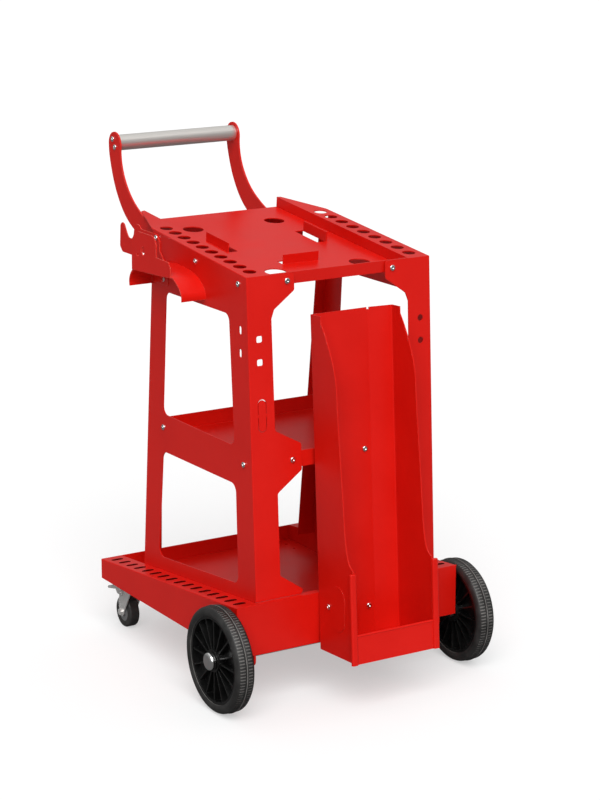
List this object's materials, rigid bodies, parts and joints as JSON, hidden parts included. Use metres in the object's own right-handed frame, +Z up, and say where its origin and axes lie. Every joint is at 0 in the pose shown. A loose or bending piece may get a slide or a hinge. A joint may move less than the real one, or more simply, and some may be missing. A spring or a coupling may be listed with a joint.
{
  "type": "welding cart",
  "caption": "Three-deck sheet-steel welding cart with a sloping top, gas-bottle holder, push handle, cable hanger, two fixed wheels and two swivel casters.",
  "frame": {"origin": "floor level, at the middle of the overall footprint", "axes": "+Z up, +X to the right seen from the wheel end, +Y towards the push handle and the swivel casters"},
  "size_m": [0.58, 0.8145, 0.972],
  "materials": {
    "red_powder_coat": "red powder coat, semi-gloss with a fine orange peel",
    "grip_steel": "brushed stainless tube",
    "zinc": "bright zinc plate",
    "chrome": "bright chrome plate",
    "axle_steel": "bright drawn bar",
    "wheel_plastic": "black moulded plastic, satin",
    "tyre_rubber": "black solid rubber",
    "caster_rubber": "black rubber tread",
    "caster_grey": "grey moulded plastic",
    "pedal_steel": "pressed zinc-plated steel"
  },
  "bodies": {
    "cart": {"axle": "axle_steel", "axle_bracket_left": "red_powder_coat", "axle_bracket_right": "red_powder_coat", "base_screws": "chrome", "base_tray": "red_powder_coat", "bottle_holder": "red_powder_coat", "cable_hanger": "red_powder_coat", "caster_pin_left": "zinc", "caster_pin_right": "zinc", "caster_plate_left": "zinc", "caster_plate_right": "zinc", "caster_screws": "chrome", "ear_screws": "chrome", "grip_plug_left": "zinc", "grip_plug_right": "zinc", "grip_screws": "chrome", "grip_tube": "grip_steel", "handle_plate_left": "red_powder_coat", "handle_plate_right": "red_powder_coat", "handle_screws": "chrome", "holder_lip": "red_powder_coat", "holder_screws": "chrome", "holder_spacers": "zinc", "hub_cap_left": "chrome", "hub_cap_right": "chrome", "middle_tray": "red_powder_coat", "side_frame_left": "red_powder_coat", "side_frame_right": "red_powder_coat", "side_screws": "chrome", "top_shelf": "red_powder_coat"},
    "wheel_left": {"wheel_hub_left": "wheel_plastic", "wheel_bush_left": "axle_steel", "tyre_left": "tyre_rubber"},
    "caster_swivel_left": {"caster_fork_left": "zinc", "caster_bolt_left": "zinc", "brake_rivet_left": "zinc"},
    "caster_wheel_left": {"caster_tyre_left": "caster_rubber", "caster_core_left": "caster_grey"},
    "caster_brake_left": {"brake_pedal_left": "pedal_steel"},
    "wheel_right": {"wheel_hub_right": "wheel_plastic", "wheel_bush_right": "axle_steel", "tyre_right": "tyre_rubber"},
    "caster_swivel_right": {"caster_fork_right": "zinc", "caster_bolt_right": "zinc", "brake_rivet_right": "zinc"},
    "caster_wheel_right": {"caster_tyre_right": "caster_rubber", "caster_core_right": "caster_grey"},
    "caster_brake_right": {"brake_pedal_right": "pedal_steel"}
  },
  "joints": [
    {"name": "wheel_left_spin", "type": "hinge", "parent": "cart", "child": "wheel_left", "pos_m": [-0.262, -0.2483, 0.1], "axis": [1, 0, 0], "continuous": true},
    {"name": "caster_left_swivel", "type": "hinge", "parent": "cart", "child": "caster_swivel_left", "pos_m": [-0.193, 0.2232, 0.09], "axis": [0, 0, 1], "continuous": true},
    {"name": "caster_left_roll", "type": "hinge", "parent": "caster_swivel_left", "child": "caster_wheel_left", "pos_m": [-0.193, 0.2482, 0.0315], "axis": [1, 0, 0], "continuous": true},
    {"name": "caster_left_brake", "type": "hinge", "parent": "caster_swivel_left", "child": "caster_brake_left", "pos_m": [-0.193, 0.2442, 0.0735], "axis": [1, 0, 0], "range_deg": [-12, 0]},
    {"name": "wheel_right_spin", "type": "hinge", "parent": "cart", "child": "wheel_right", "pos_m": [0.262, -0.2483, 0.1], "axis": [1, 0, 0], "continuous": true},
    {"name": "caster_right_swivel", "type": "hinge", "parent": "cart", "child": "caster_swivel_right", "pos_m": [0.193, 0.2232, 0.09], "axis": [0, 0, 1], "continuous": true},
    {"name": "caster_right_roll", "type": "hinge", "parent": "caster_swivel_right", "child": "caster_wheel_right", "pos_m": [0.193, 0.2482, 0.0315], "axis": [1, 0, 0], "continuous": true},
    {"name": "caster_right_brake", "type": "hinge", "parent": "caster_swivel_right", "child": "caster_brake_right", "pos_m": [0.193, 0.2442, 0.0735], "axis": [1, 0, 0], "range_deg": [-12, 0]}
  ]
}
